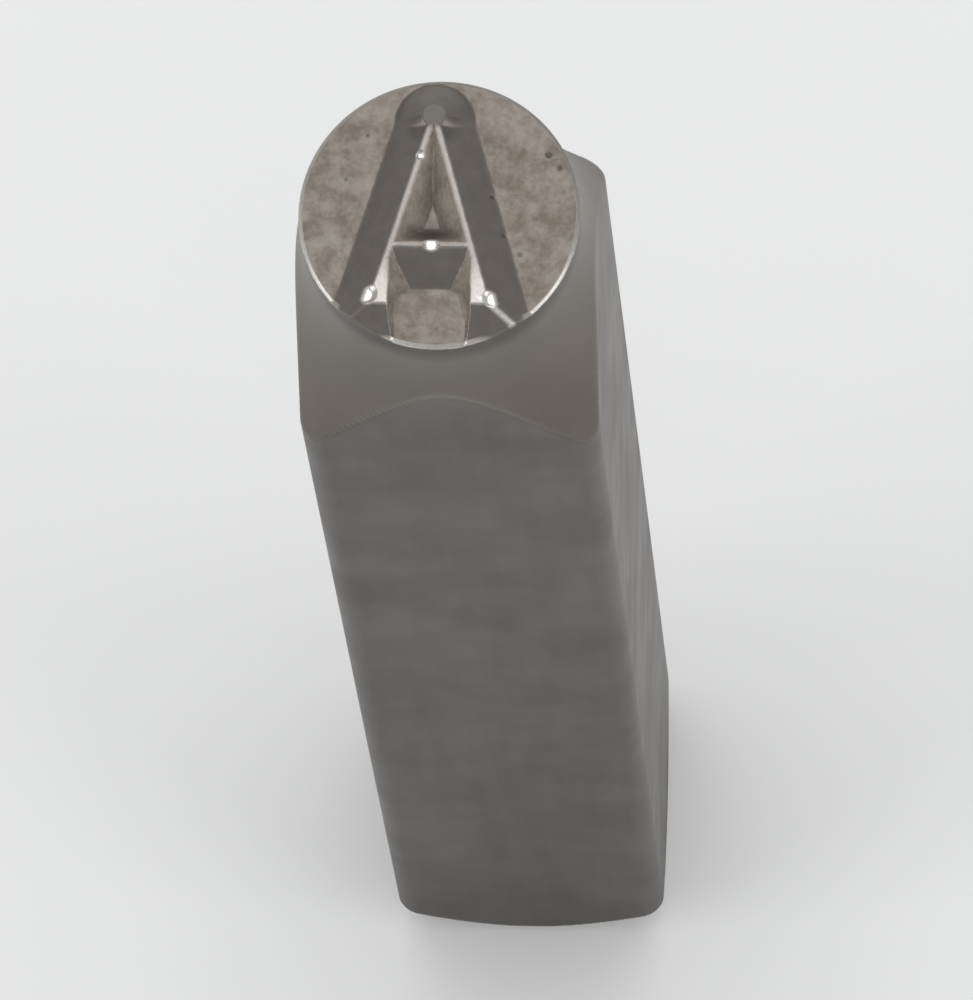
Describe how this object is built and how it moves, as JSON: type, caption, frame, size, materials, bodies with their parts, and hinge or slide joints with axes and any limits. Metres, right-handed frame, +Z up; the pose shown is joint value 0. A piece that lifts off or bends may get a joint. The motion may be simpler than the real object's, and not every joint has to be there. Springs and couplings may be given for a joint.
{
  "type": "letter punch",
  "caption": "Steel letter punch: a square bar with a chamfered striking end and a turned neck, whose round face carries a raised letter.",
  "frame": {"origin": "centre of the flat striking end", "axes": "+Z up the bar towards the letter, -Y towards the foot of the letter, +X to the right of the letter as it is looked at"},
  "size_m": [0.0094, 0.0094, 0.067],
  "materials": {
    "blackened_steel": "hardened carbon steel with a thin dark oxide, satin; bright where the rim and the crest of the letter are worn"
  },
  "bodies": {
    "root": {"punch": "blackened_steel"}
  },
  "joints": []
}
